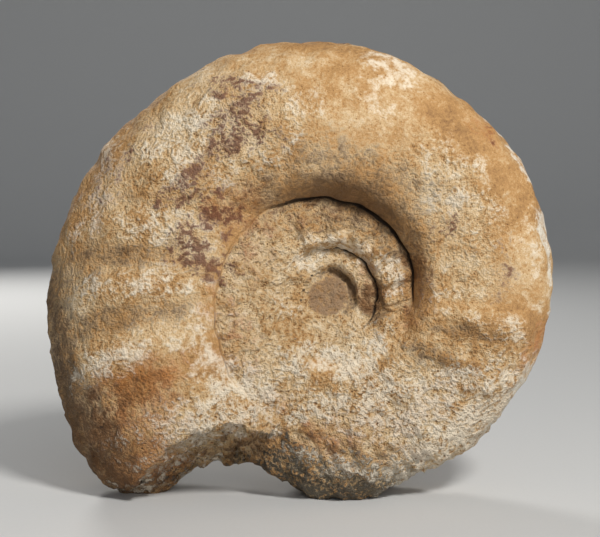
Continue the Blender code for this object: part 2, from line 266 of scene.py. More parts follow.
def break_place(x, z):
    """Signed distance into the shell from its broken end, with the end's depth and front height there, and
    the distance along it."""
    points = np.array(BROKEN_END)
    nearest = np.full(x.shape, 1.0)
    side = np.ones(x.shape)
    depth = np.zeros(x.shape)
    height = np.ones(x.shape)
    along = np.zeros(x.shape)
    passed = 0.0
    for (ax, az, *start), (bx, bz, *end) in zip(points[:-1], points[1:]):
        dx, dz = bx - ax, bz - az
        length = math.hypot(dx, dz)
        t = np.clip(((x - ax) * dx + (z - az) * dz) / length ** 2, 0.0, 1.0)
        gap = np.hypot(x - ax - t * dx, z - az - t * dz)
        closer = gap < nearest
        nearest = np.where(closer, gap, nearest)
        side = np.where(closer, np.sign(dx * (z - az) - dz * (x - ax)), side)
        depth = np.where(closer, start[0] + t * (end[0] - start[0]), depth)
        height = np.where(closer, start[1] + t * (end[1] - start[1]), height)
        along = np.where(closer, passed + t * length, along)
        passed += length
    return nearest * side, depth, height, along


def rib_relief(angle, within):
    """Height of the outer turn's ribs. They fade at the seam and over the rim."""
    ribs = np.zeros(angle.shape)
    for middle, sweep, half_width, peak in RIBS:
        ribs = ribs + peak * bump(angle - sweep * within, middle, half_width)
    return ribs * ramp(within, RIB_START, RIB_FULL) * ramp(1 - within, 0.0, RIB_FADE)


def inner_relief(angle, across, half):
    """Height of the close ribs of the turns inside, and their arch down to the seam outside them."""
    wave = np.cos(np.radians((angle - INNER_RIB_PHASE) * TURN / INNER_RIB_SPACING))
    fade = bump(across, INNER_RIB_MIDDLE, INNER_RIB_REACH) * ramp(angle, INNER_RIB_FIRST, INNER_RIB_CLEAR)
    arch = np.clip((across - ARCH_START) / (1 - ARCH_START), 0.0, ARCH_MOST) ** 2
    return INNER_RIB_HEIGHT * wave * fade - ARCH_DROP * half * arch


def flank_profile(angle, share):
    """The flank's rounding and the wall at its foot, as a share of the turn's half breadth."""
    boxy = 1 - ramp(angle, BOXY_UNTIL, ROUND_FROM)
    shoulder = ROUND_SHOULDER + (BOXY_SHOULDER - ROUND_SHOULDER) * boxy
    power = ROUND_POWER + (BOXY_POWER - ROUND_POWER) * boxy
    power = power + FOOT_POWER * bump(angle, FOOT_ANGLE, FOOT_SPREAD)
    inward = np.clip((1 - share) / shoulder, 0.0, 1.0)
    rounding = (1 - (1 - inward) ** FULLNESS) ** (1 / power)
    foot = smooth_curve(angle, WALL_ANGLES, WALL_FOOTS)
    width = smooth_curve(angle, WALL_ANGLES, WALL_WIDTHS)
    wall = foot + (1 - foot) * (1 - (1 - np.clip(share / width, 0.0, 1.0)) ** FULLNESS)
    return rounding * wall, foot


def whorl_height(radius, angle):
    """Height of one turn's flank at a distance from the centre."""
    outer, inner = rim(angle), seam(angle)
    half = HALF_BREADTH_START + HALF_BREADTH_SHARE * outer
    share = (radius - inner) / (outer - inner)
    profile, foot = flank_profile(angle, share)
    height = half * profile + rib_relief(angle, np.clip(share, 0.0, 1.0))
    covered = 1 - ramp(angle, LAST_ANGLE - TURN - COVER_FADE, LAST_ANGLE - TURN)
    across = (radius - inner) / (seam(angle + TURN) - inner)
    height = height + covered * inner_relief(angle, across, half)
    height = np.where(share < 0, half * foot + HIDDEN_WALL_SLOPE * (radius - inner), height)
    return np.where(share > 1, BEYOND_RIM, height)


def dish_height(radius, angle, front):
    """Height of the stone that fills part of the hollow at the centre."""
    slope = smooth_curve(angle, DISH_ANGLES, DISH_SLOPES)
    level = smooth_curve(angle, DISH_ANGLES, DISH_LEVELS)
    if not front:
        slope = slope * BACK_SHALLOWING
    rising = DISH_MIDDLE + slope * radius
    height = -smooth_max(-rising, -level, DISH_ROUNDING)
    return height - HIDDEN_WALL_SLOPE * np.clip(radius - DISH_RADIUS, 0.0, None)


def seam_blend(radius, angle):
    """How widely a turn's surface runs into what lies inside it."""
    fill = smooth_curve((angle - LAST_ANGLE) % TURN + LAST_ANGLE - TURN, DISH_ANGLES, DISH_SLOPES)
    buried = ramp(fill, *BURIED_SLOPES) * (1 - ramp(radius, *BURIED_RADII))
    buried = buried * (1 - ramp(angle, BURIED_UNTIL, CLEAR_FROM))
    blend = SHARP_SEAM + (BURIED_SEAM - SHARP_SEAM) * buried
    blend = blend + (WORN_SEAM - SHARP_SEAM) * ramp(angle, WORN_FROM, WORN_FULL)
    return blend + (BROKEN_SEAM - WORN_SEAM) * ramp(angle, BROKEN_FROM, LAST_ANGLE)


def add_turn(height, radius, angle):
    return smooth_max(height, whorl_height(radius, angle), seam_blend(radius, angle))


def nucleus_height(x, z):
    """The nucleus is a low round plug, a little to the left of the centre."""
    from_middle = np.hypot(x - NUCLEUS_X, z)
    crown = NUCLEUS_HEIGHT - NUCLEUS_CROWN * (from_middle / NUCLEUS_RADIUS) ** 2
    plug = crown - NUCLEUS_TILT * (x - NUCLEUS_X)
    return plug - NUCLEUS_EDGE_SLOPE * np.clip(from_middle - NUCLEUS_RADIUS, 0.0, None)


def moat_depth(x, z):
    """Depth of the moat round the nucleus."""
    toward = np.degrees(np.arctan2(z, x - NUCLEUS_X))
    moat = bump(np.hypot(x - NUCLEUS_X, z), MOAT_RADIUS, MOAT_HALF_WIDTH)
    return MOAT_DEPTH * moat * bump(toward, MOAT_ANGLE, MOAT_SPREAD)


def broken_height(x, z, front):
    """Height of the broken face, which cuts off the last turn. Beyond it there is nothing of that turn."""
    into, depth, face, _ = break_place(x, z)
    inside = np.clip(into, 0.0, None)
    if front:
        height = depth + BREAK_RISE * (inside / face) ** BREAK_CURVE
    else:
        height = -depth + BACK_BREAK_SLOPE * inside
    points = np.stack([x, height / 2, z], axis=1)
    rough = BREAK_ROUGHNESS * (lumps(points, BREAK_LUMP) + lumps(points, BREAK_CHIP) / 2)
    height = height + rough * ramp(inside, 0.0, BREAK_EDGE)
    return height + HIDDEN_WALL_SLOPE * np.clip(into + BREAK_LIP, None, 0.0)


def flank_height(x, z, angle, front):
    """Height of the front or back flank, and which of it is broken stone."""
    radius = np.hypot(x, z)
    height = nucleus_height(x, z)
    for turn in INNER_TURNS:
        height = add_turn(height, radius, angle - turn * TURN)
    # The filling runs up to the next turn out, which past the broken end is the bare one.
    dish = dish_height(radius, angle, front)
    under = add_turn(smooth_max(height, dish, BURIED_SEAM / 2), radius, angle - TURN)
    over = smooth_max(add_turn(height, radius, angle - TURN), dish, BURIED_SEAM / 2)
    height = over + (under - over) * ramp(angle, FILL_OVER, FILL_UNDER) - moat_depth(x, z)
    last = whorl_height(radius, angle)
    near_end = angle > BREAK_FROM
    face = np.ones(x.shape)
    face[near_end] = broken_height(x[near_end], z[near_end], front)
    whole = smooth_max(height, np.minimum(last, face), seam_blend(radius, angle))
    return whole, (face < last) & (face > height - BREAK_SHOWS)


# ---------------------------------------------------------------------------------------------------------
# The surface as a mesh of rings: from the middle of the front, over the rim, to the middle of the back
# ---------------------------------------------------------------------------------------------------------

# Slices run round the coil. Their places are worked out from many samples of how crowded they are.
SLICES = 400
SLICE_SAMPLES = 2000
CROWDED_ANGLE, CROWDED_WIDTH, CROWDING = 232.0, 34.0, 1.4

# Rings in each zone of the front and of the back: inside the inner seam, between the seams, and out to the
# rim, where they crowd together.
FRONT_RINGS = (20, 30, 70)
BACK_RINGS = (14, 20, 62)
RIM_CROWDING = 1.7

# Where the seams show, by angle. The inner one is between the turns inside.
INNER_SEAM_SHOWS = (-60.0, 140.0)
OUTER_SEAM_SHOWS = (-40.0, 228.0)

# The seams are grooves that cut in under the turn outside them. Each ring there: distance from the seam,
# shift outward and shift in height, in millimetres.
GROOVE_MM = (
    (-2.6, 0.0, 0.0),
    (-1.6, 0.1, -0.5),
    (-0.9, 0.3, -1.7),
    (-0.3, 0.8, -3.2),
    (0.2, 1.2, -3.4),
    (0.5, 0.9, -1.9),
    (0.8, 0.3, -0.4),
    (1.8, 0.0, 0.0),
)
INNER_GROOVE_SHARE = 0.8
GROOVE_EDGE = 0.0034
# How deep each groove is, by angle. It is shallow where it is worn, and ends where it is buried or broken.
OUTER_GROOVE_ANGLES = (-110, -40, -15, 15, 60, 105, 130, 165, 215, 236, 250)
OUTER_GROOVE_DEPTHS = (0.0, 0.0, 0.30, 0.75, 1.25, 0.80, 0.36, 0.30, 0.36, 0.0, 0.0)
INNER_GROOVE_ANGLES = (-110, -60, -40, 0, 60, 100, 130, 150, 250)
INNER_GROOVE_DEPTHS = (0.0, 0.0, 0.6, 0.9, 1.0, 0.6, 0.2, 0.0, 0.0)


def slice_angles():
    """The angle of each slice. The slices crowd together at the broken end."""
    turned = np.linspace(LAST_ANGLE - TURN, LAST_ANGLE, SLICE_SAMPLES)
    density = 1 + CROWDING * bump(turned, CROWDED_ANGLE, CROWDED_WIDTH)
    passed = np.concatenate([[0.0], np.cumsum((density[1:] + density[:-1]) / 2)])
    return np.interp(np.arange(SLICES) / SLICES, passed / passed[-1], turned)


def seam_guide(angle, turn, first, last):
    """Where the rings follow a seam. Round the rest of the circle they pass smoothly from its end to its
    start, because there the seam is buried or broken away."""
    followed = seam(np.clip(angle, first, last) - turn * TURN)
    rest = TURN - (last - first)
    gone = ramp(((angle - last) % TURN) / rest, 0.0, 1.0)
    start, end = seam(first - turn * TURN), seam(last - turn * TURN)
    between = end + (start - end) * gone
    return np.where((angle >= first) & (angle <= last), followed, between)


def groove_depths(angle):
    """How deep each groove is at an angle: the outer one, then the inner one."""
    outer = smooth_curve(angle, OUTER_GROOVE_ANGLES, OUTER_GROOVE_DEPTHS)
    inner = smooth_curve(angle, INNER_GROOVE_ANGLES, INNER_GROOVE_DEPTHS)
    return np.clip(outer, 0.0, None), np.clip(inner, 0.0, None)


def flank_rings(angle, edge, front):
    """The rings of one flank, from the middle out: for each, the radii where its height is read, and its
    shifts outward and in height."""
    inner_seam = seam_guide(angle, 1, *INNER_SEAM_SHOWS)
    outer_seam = seam_guide(angle, 0, *OUTER_SEAM_SHOWS)
    outer_depth, inner_depth = groove_depths(angle)
    inside, between, outside = FRONT_RINGS if front else BACK_RINGS
    nothing = np.zeros(angle.shape)
    rings = []
    for i in range(1, inside + 1):
        rings.append(((inner_seam - GROOVE_EDGE) * i / inside, nothing, nothing))
    for offset, out, up in np.array(GROOVE_MM) * MM * INNER_GROOVE_SHARE:
        rings.append((inner_seam + offset, out * inner_depth, up * inner_depth))
    start, end = inner_seam + GROOVE_EDGE, outer_seam - GROOVE_EDGE
    for i in range(between):
        rings.append((start + (end - start) * i / (between - 1), nothing, nothing))
    for offset, out, up in np.array(GROOVE_MM) * MM:
        rings.append((outer_seam + offset, out * outer_depth, up * outer_depth))
    start = outer_seam + GROOVE_EDGE
    for i in range(outside):
        share = 1 - (1 - i / outside) ** RIM_CROWDING
        rings.append((start + (edge - start) * share, nothing, nothing))
    return rings


def flank_points(angle, edge, front):
    """Points of one flank, ring by ring, with which of it is broken and how deep in a groove it is."""
    side = -1.0 if front else 1.0
    across, up = np.cos(np.radians(angle)), np.sin(np.radians(angle))
    points, broken, hidden = [], [], []
    for radius, out, lift in flank_rings(angle, edge, front):
        height, is_broken = flank_height(radius * across, radius * up, angle, front)
        reach = radius + out
        points.append(np.stack([reach * across, side * (height + lift), reach * up], axis=1))
        broken.append(is_broken)
        hidden.append(-lift / GROOVE_EDGE)
    return np.array(points), np.array(broken), np.array(hidden)


def ring_surface():
    """All rings from the front's middle over the rim to the back's: points, angles, broken, in a groove."""
    angle = slice_angles()
    edge, edge_broken = outline(angle)
    x, z = edge * np.cos(np.radians(angle)), edge * np.sin(np.radians(angle))
    y = np.where(edge_broken, -break_place(x, z)[1], 0.0)
    front, front_broken, front_hidden = flank_points(angle, edge, True)
    back, back_broken, back_hidden = flank_points(angle, edge, False)
    points = np.concatenate([front, np.stack([x, y, z], axis=1)[None], back[::-1]])
    broken = np.concatenate([front_broken, edge_broken[None], back_broken[::-1]])
    hidden = np.concatenate([front_hidden, np.zeros((1, SLICES)), back_hidden[::-1]])
    return points, np.broadcast_to(angle, broken.shape), broken, hidden


def ring_faces(rings):
    """Quads between the rings, and triangles to the point in the middle of each flank."""
    first = np.arange(SLICES)
    after = (first + 1) % SLICES
    start = np.arange(rings - 1)[:, None] * SLICES
    quads = np.stack([start + first, start + after, start + SLICES + after, start + SLICES + first], axis=2)
    faces = quads.reshape(-1, 4).tolist()
    front_middle, back_middle = rings * SLICES, rings * SLICES + 1
    last = (rings - 1) * SLICES
    faces += [(front_middle, int(b), int(a)) for a, b in zip(first, after)]
    faces += [(back_middle, last + int(a), last + int(b)) for a, b in zip(first, after)]
    return faces


# ---------------------------------------------------------------------------------------------------------
# Fine relief, weathering, and painted shade and highlight, as values at each point
# ---------------------------------------------------------------------------------------------------------

# Each dab: x and z of its middle from the coil's centre, half length and half width, in millimetres, tilt
# from level in degrees, and strength. These are on the shown flank.
CHALK_DABS = (
    (-45, 124, 12, 8, 0, 0.8),
    (-76, 96, 34, 18, 38, 0.55),
    (-62, 74, 14, 9, 20, 0.5),
    (-84, 67, 16, 9, 20, 0.5),
    (-94, 40, 30, 11, -8, 0.48),
    (-96, 13, 30, 10, 8, 0.38),
    (-137, 66, 9, 34, -24, 0.5),
    (-36, 88, 20, 10, 30, 0.4),
    (-20, 112, 12, 10, 0, 0.4),
    (32, 132, 22, 9, -34, 0.65),
    (24, 117, 14, 10, -60, 0.45),
    (66, 82, 22, 12, -20, 0.3),
    (64, 56, 12, 8, 0, 0.25),
    (90, 40, 12, 30, 10, 0.2),
    (118, 20, 10, 30, 8, 0.2),
    (100, -20, 16, 8, -30, 0.3),
    (10, -42, 30, 9, -15, 0.7),
    (-10, -66, 16, 6, 14, 0.7),
    (-24, -34, 9, 8, 0, 0.55),
    (-28, -6, 10, 10, 0, 0.4),
    (22, -62, 16, 8, -40, 0.5),
    (104, -54, 24, 9, 52, 0.9),
    (82, -78, 30, 12, 42, 1.0),
    (56, -94, 32, 9, 26, 0.75),
    (70, -62, 40, 22, 30, 0.55),
    (30, -62, 40, 20, 0, 0.5),
    (6, -97, 34, 6, -12, 0.45),
    (44, -112, 30, 5, 22, 0.35),
    (-60, -48, 34, 13, -50, 0.6),
    (-66, -62, 46, 13, 16, 0.62),
    (-84, -84, 30, 9, 26, 0.45),
    (-88, -20, 36, 10, 22, 0.24),
    (-128, -36, 30, 10, 30, 0.35),
    (-12, 26, 16, 7, 30, 0.6),
    (12, 26, 16, 6, -28, 0.5),
    (32, 12, 7, 14, 0, 0.5),
    (22, -26, 12, 9, 20, 0.5),
    (60, 4, 10, 10, 0, 0.2),
)
RUST_DABS = (
    (-54, 121, 20, 6, -8, 0.85),
    (-58, 106, 14, 8, 10, 0.85),
    (-48, 100, 10, 12, 10, 0.6),
    (-58, 91, 11, 10, 60, 0.85),
    (-70, 81, 20, 6, 36, 1.0),
    (-82, 63, 18, 8, 10, 0.75),
    (-96, 55, 12, 5, 10, 0.6),
    (-84, 30, 10, 12, 20, 0.9),
    (-78, 19, 20, 6, -14, 0.95),
    (-62, 34, 4, 18, -16, 0.75),
    (-68, 46, 13, 7, 20, 0.6),
    (-90, 134, 46, 6, 34, 0.45),
    (-128, 78, 44, 6, 52, 0.4),
    (92, 97, 10, 8, -30, 0.4),
    (60, 40, 10, 8, 0, 0.45),
    (-34, 94, 7, 7, 0, 0.6),
    (96, 20, 8, 20, 0, 0.4),
)
ORANGE_DABS = (
    (6, -74, 30, 10, 10, 0.5),
    (52, -66, 22, 12, 30, 0.45),
    (-50, 30, 14, 24, 10, 0.35),
    (-44, -66, 22, 9, 30, 0.4),
    (-118, -74, 30, 40, -20, 0.85),
    (-108, -40, 34, 9, 16, 0.5),
    (-142, 60, 14, 26, -22, 0.4),
    (-104, -104, 28, 18, 0, 0.8),
    (116, -32, 9, 20, -20, 0.7),
    (44, 2, 10, 26, -5, 0.45),
    (-62, 52, 20, 14, 40, 0.45),
    (90, 97, 12, 8, -40, 0.45),
    (20, 8, 8, 16, 0, 0.6),
    (-60, -20, 12, 30, 20, 0.5),
    (0, -88, 60, 12, -8, 0.4),
    (-30, 46, 34, 10, 0, 0.3),
)
# Umber stains, and painted shade: the dabs at x 0, 34 and 46 mm paint the shade under the outer turn's wall
# at the top and right of the hollow, and the one at x 22 mm the shade along the inner groove right of the
# nucleus. Those round the lower left of the rim make it darker there.
UMBER_AND_SHADE_DABS = (
    (-164, -30, 14, 50, 12, 0.75),
    (-152, -80, 20, 40, 20, 0.95),
    (-138, -104, 26, 26, 0, 0.9),
    (-112, -118, 26, 12, 0, 0.8),
    (-118, 27, 34, 5, 6, 0.55),
    (-114, -8, 34, 6, 8, 0.5),
    (-150, 14, 20, 14, 0, 0.4),
    (66, -36, 26, 6, -14, 0.6),
    (74, -20, 22, 5, -10, 0.6),
    (86, -104, 16, 6, 35, 0.8),
    (0, 48, 30, 9, 0, 0.42),
    (34, 32, 28, 9, -48, 0.55),
    (46, 4, 8, 20, 0, 0.45),
    (-120, -92, 22, 16, 30, 0.4),
    (-142, -84, 20, 34, 15, 0.75),
    (-104, -60, 26, 7, 30, 0.35),
    (-40, -92, 24, 12, 30, 0.6),
    (22, -6, 6, 20, 0, 0.75),
)
# Grey grime along the bottom of the front, laid dark there as painted shade on the underside too.
GRIME_AND_SHADE_DABS = (
    (-16, -116, 84, 21, 0, 0.95),
    (-40, -102, 12, 12, -45, 0.7),
    (-12, -98, 26, 9, -40, 0.5),
    (14, -108, 8, 14, 20, 0.5),
)
GRIT_DABS = (
    (10, -84, 110, 36, 0, 1.0),
    (60, -50, 60, 40, 0, 0.8),
    (64, 44, 30, 50, 10, 0.6),
    (20, 72, 50, 12, -10, 0.45),
    (-152, -60, 26, 70, 8, 0.8),
    (-70, 84, 56, 38, 30, 0.75),
    (-120, 20, 50, 50, 0, 0.55),
    (-110, -80, 60, 44, 0, 0.6),
)
CLEFT_DABS = (
    (-10, -104, 70, 26, 0, 1.0),
    (60, -40, 50, 16, -20, 0.3),
    (-146, -60, 14, 56, 8, 0.3),
)
CLEFT_TILT = -52.0

# Small round holes in the shown flank: x, z, radius and depth, in millimetres.
HOLES_MM = (
    (-28.5, 55.0, 2.4, 2.6),
    (-137.0, -74.0, 2.0, 2.2),
    (-19.0, 4.0, 2.0, 1.8),
    (-20.5, -1.0, 1.8, 1.6),
    (-14.5, 12.5, 1.6, 1.4),
    (60.0, 118.0, 1.6, 1.2),
)
# A dab fades out over this share of its size. Its edge strays by this much in lumps of this size, and by a
# share of that in fine ones.
DAB_FEATHER = 0.9
DAB_WANDER, DAB_WANDER_SIZE = 7 * MM, 15 * MM
FINE_WANDER, FINE_WANDER_SIZE = 0.6, 0.005

# The back flank has no placed dabs. Its weathering is patchy all over: a patch's size, where it starts, its
# place in the noise, and its strength. The patches fade in, and their edges stray too.
BACK_PATCHES = {
    "chalk_and_highlight": (0.030, -0.05, (3.1, 0.0, 0.0), 0.8),
    "rust": (0.034, 0.16, (0.0, 7.7, 0.0), 0.9),
    "orange": (0.050, -0.05, (0.0, 0.0, 5.3), 0.8),
    "umber_and_shade": (0.042, 0.05, (9.2, 4.1, 0.0), 0.8),
    "grime_and_shade": (0.060, 0.28, (0.0, 2.9, 8.8), 0.8),
    "grit": (0.055, -0.30, (6.0, 0.0, 1.7), 0.9),
    "cleft": (0.045, 0.05, (2.0, 5.0, 1.7), 0.7),
}
PATCH_FEATHER = 0.45
PATCH_WANDER, PATCH_FINE_WANDER = 0.35, 0.25
# The front's dabs give way to the back's patches over this distance either side of the middle plane.
FRONT_EDGE = 0.010

# How far a soft edge takes to fade, and how much the edges of cracks and of the rind stray.
SOFT_EDGE = 0.004
EDGE_STRAY = 0.3

# Ribs are painted paler by their share of this height, as painted highlight, and the furrows between them
# darker, as painted shade: below which share, from which angles on, and from where to where across the turn.
RIB_LIGHT_HEIGHT, RIB_HIGHLIGHT, RIB_HIGHLIGHT_RANGE = 0.0034, 0.22, (0.3, 1.0)
FURROW_SHADE, FURROW_SHARE, FURROW_ANGLES = 0.5, 0.35, (145.0, 165.0)
FURROW_START, FURROW_END = (0.25, 0.5), (0.8, 1.0)

# Painted shade at the foot of the outer turn's wall: its angle and spread, and then strength, middle and half
# width.
WALL_SHADE_ANGLE, WALL_SHADE_SPREAD = 85.0, 90.0
WALL_SHADE = ((0.5, 0.004, 0.016), (0.6, 0.012, 0.040))

# Rust follows fine cracks: their size and width, how much of it is away from them, and how much more is on
# them.
CRACK_SIZE, CRACK_WIDTH = 0.0095, 0.20
RUST_AWAY, RUST_MORE = 0.6, 0.7

# The pale rind along the right of the rim: its share of the width at which angles, how the width strays, how
# its edge and ends fade, its patches, and how far it goes either side of the middle plane.
RIND_PLACES = ((1.0, 20.0, 44.0), (0.6, -30.0, 26.0))
RIND_WIDTH, RIND_WANDER, RIND_FINE_WANDER = 0.0070, 0.0035, 0.0030
RIND_EDGE, RIND_ENDS = (-0.0010, 0.0012), (0.1, 0.4)
RIND_PATCH_SIZE, RIND_PATCHES = 0.024, (-0.35, 0.05)
RIND_REACH, RIND_REACH_WANDER = 0.032, 0.014

# How gritty the stone is inside the outer turn's seam, and how much smoother the rind and the nucleus are.
SANDY_EDGE, SANDY_GRIT = (-0.0005, 0.0010), 0.85
RIND_SMOOTHNESS, NUCLEUS_SMOOTHNESS = 0.5, 0.4
# How far broken stone is free of grime, and the nucleus and its moat of chalk.
BROKEN_FREE, NUCLEUS_FREE, MOAT_FREE = 0.6, 0.8, 0.9
# How strongly the grooves and holes, and the moat round the nucleus, are painted with shade.
GROOVE_SHADE, MOAT_SHADE = 1.3, 1.3
NUCLEUS_MARGIN, NUCLEUS_FADE = 0.001, 0.003

# Lumps of the fine relief: size, height on smooth stone, and how much higher they are on gritty stone.
BIG_LUMPS = (0.0085, 0.00025, 0.00095)
SMALL_LUMPS = (0.0042, 0.00012, 0.00130)
# The small ones are worn down towards the rim.
RIM_WEAR, RIM_WEAR_RADII = 0.7, (0.085, 0.125)
PIT_SIZE, PIT_RANGE, PIT_DEPTH = 0.0058, (0.18, 0.5), 0.0010
RIND_THICKNESS = 0.0004
# Clefts and ledges: sizes along, across and through the stone.
CLEFT_SIZES, CLEFT_WIDTH, CLEFT_DEPTH = (0.022, 0.0055, 0.02), 0.28, 0.0024
LEDGE_SIZES, LEDGE_HEIGHT = (0.022, 0.0030, 0.012), 0.0028
SMALL_LEDGES, SMALL_LEDGE_HEIGHT = 2.3, 0.0018
RUBBLE_SIZE, RUBBLE_HEIGHT = 0.0075, 0.0038
# Grooves and holes are calm, up to this much.
SEAM_CALM, SEAM_CALM_MOST = 1.5, 0.85


def dabbed(x, z, dabs):
    """How strongly the dabs cover each place."""
    cover = np.zeros(x.shape)
    for middle_x, middle_z, length, width, tilt, strength in dabs:
        turned = math.radians(tilt)
        from_x, from_z = x - middle_x * MM, z - middle_z * MM
        along = (from_x * math.cos(turned) + from_z * math.sin(turned)) / (length * MM)
        over = (from_z * math.cos(turned) - from_x * math.sin(turned)) / (width * MM)
        reach = np.hypot(along, over)
        dab = strength * ramp(1 + DAB_FEATHER / 2 - reach, 0.0, DAB_FEATHER)
        cover = cover + dab - cover * np.clip(dab, 0.0, 1.0)
    return cover


def placed_stains(points, front, wander, fine_wander):
    """The stains and textures that are dabbed on the front and lie in patches on the back."""
    x, _, z = points.T
    shifted_x, shifted_z = np.stack([x, z]) + DAB_WANDER * wander + DAB_WANDER * FINE_WANDER * fine_wander
    placed = {"chalk_and_highlight": CHALK_DABS, "rust": RUST_DABS, "orange": ORANGE_DABS, "umber_and_shade": UMBER_AND_SHADE_DABS,
              "grime_and_shade": GRIME_AND_SHADE_DABS, "grit": GRIT_DABS, "cleft": CLEFT_DABS}
    stray = PATCH_WANDER * wander[0], PATCH_FINE_WANDER * fine_wander[0]
    masks = {}
    for name, dabs in placed.items():
        size, start, offset, strength = BACK_PATCHES[name]
        patch = lumps(points + np.array(offset) * size, size) + stray[0] + stray[1]
        behind = strength * ramp(patch, start, start + PATCH_FEATHER)
        masks[name] = front * dabbed(shifted_x, shifted_z, dabs) + (1 - front) * behind
    return masks


def rind_cover(points, angle, wander, fine_wander):
    """Where the pale rind is left along the right of the rim."""
    inward = rim(angle) - np.hypot(points[:, 0], points[:, 2])
    place = sum(share * bump(angle, middle, spread) for share, middle, spread in RIND_PLACES)
    width = RIND_WIDTH * place + RIND_WANDER * wander[0] + RIND_FINE_WANDER * fine_wander[0]
    rind = ramp(width - inward, *RIND_EDGE) * ramp(place, *RIND_ENDS)
    patchy = ramp(lumps(points + 6.0, RIND_PATCH_SIZE) + EDGE_STRAY * fine_wander[1], *RIND_PATCHES)
    reach = RIND_REACH + RIND_REACH_WANDER * wander[1] - np.abs(points[:, 1])
    return rind * patchy * ramp(reach, 0.0, SOFT_EDGE)


def weathering(points, angle, broken, hidden):
    """The stains and textures of the stone, with painted shade and highlight among them, at each point, each
    from 0 for none to about 1.
    """
    x, y, z = points.T
    radius = np.hypot(x, z)
    front = ramp(-y, -FRONT_EDGE, FRONT_EDGE)
    wander = np.stack([lumps(points, DAB_WANDER_SIZE), lumps(points + 1.0, DAB_WANDER_SIZE)])
    fine_wander = np.stack([lumps(points + 2.0, FINE_WANDER_SIZE), lumps(points + 3.0, FINE_WANDER_SIZE)])
    masks = placed_stains(points, front, wander, fine_wander)

    outer, inner = rim(angle), seam(angle)
    within = np.clip((radius - inner) / (outer - inner), 0.0, 1.0)
    on_last = ramp(radius - inner, 0.0, SOFT_EDGE)
    # Rib crests are painted paler, as painted highlight, and the furrows between them darker, as painted
    # shade.
    rib_rise = rib_relief(angle, within) / RIB_LIGHT_HEIGHT * on_last
    furrow = ramp(FURROW_SHARE - rib_rise, 0.0, FURROW_SHARE) * ramp(angle, *FURROW_ANGLES)
    furrow = furrow * ramp(within, *FURROW_START) * on_last
    masks["chalk_and_highlight"] = masks["chalk_and_highlight"] + RIB_HIGHLIGHT * ramp(rib_rise, *RIB_HIGHLIGHT_RANGE)
    masks["umber_and_shade"] = np.maximum(masks["umber_and_shade"], FURROW_SHADE * furrow * (1 - ramp(within, *FURROW_END)))

    # Painted shade along the foot of the outer turn's wall.
    wall = sum(strength * bump(radius - inner, middle, spread) for strength, middle, spread in WALL_SHADE)
    wall = bump(angle, WALL_SHADE_ANGLE, WALL_SHADE_SPREAD) * front * wall
    masks["umber_and_shade"] = np.maximum(masks["umber_and_shade"], wall)

    away = np.abs(lumps(points + 4.0, CRACK_SIZE) + EDGE_STRAY * fine_wander[0])
    crack = ramp(CRACK_WIDTH - away, 0.0, CRACK_WIDTH)
    masks["rust"] = masks["rust"] * (RUST_AWAY + RUST_MORE * crack)
    masks["rind"] = rind_cover(points, angle, wander, fine_wander)

    # Broken stone is as gritty as it gets.
    sandy = ramp(inner - radius, *SANDY_EDGE)
    bare = broken.astype(float)
    smoother = masks["grit"] * (1 - RIND_SMOOTHNESS * masks["rind"])
    masks["grit"] = np.maximum.reduce([smoother, SANDY_GRIT * sandy, bare])
    masks["broken"] = bare
    masks["grime_and_shade"] = masks["grime_and_shade"] * (1 - BROKEN_FREE * bare)
    # Grooves and holes are painted dark, as painted shade in them.
    masks["seam"] = np.clip(hidden * GROOVE_SHADE, 0.0, 1.0)
    for hole_x, hole_z, hole_radius, _ in np.array(HOLES_MM) * MM:
        hole = bump(np.hypot(x - hole_x, z - hole_z), 0.0, hole_radius) * front
        masks["seam"] = np.maximum(masks["seam"], hole)

    from_middle = np.hypot(x - NUCLEUS_X, z)
    nucleus = ramp(NUCLEUS_RADIUS + NUCLEUS_MARGIN - from_middle, 0.0, NUCLEUS_FADE) * front
    in_moat = moat_depth(x, z) / MOAT_DEPTH
    masks["nucleus"] = nucleus
    # The moat round the nucleus is painted with shade, and kept free of chalk.
    masks["umber_and_shade"] = np.maximum(masks["umber_and_shade"], MOAT_SHADE * in_moat * front)
    masks["chalk_and_highlight"] = masks["chalk_and_highlight"] * (1 - MOAT_FREE * in_moat) * (1 - NUCLEUS_FREE * nucleus)
    masks["grit"] = masks["grit"] * (1 - NUCLEUS_SMOOTHNESS * nucleus)
    return masks


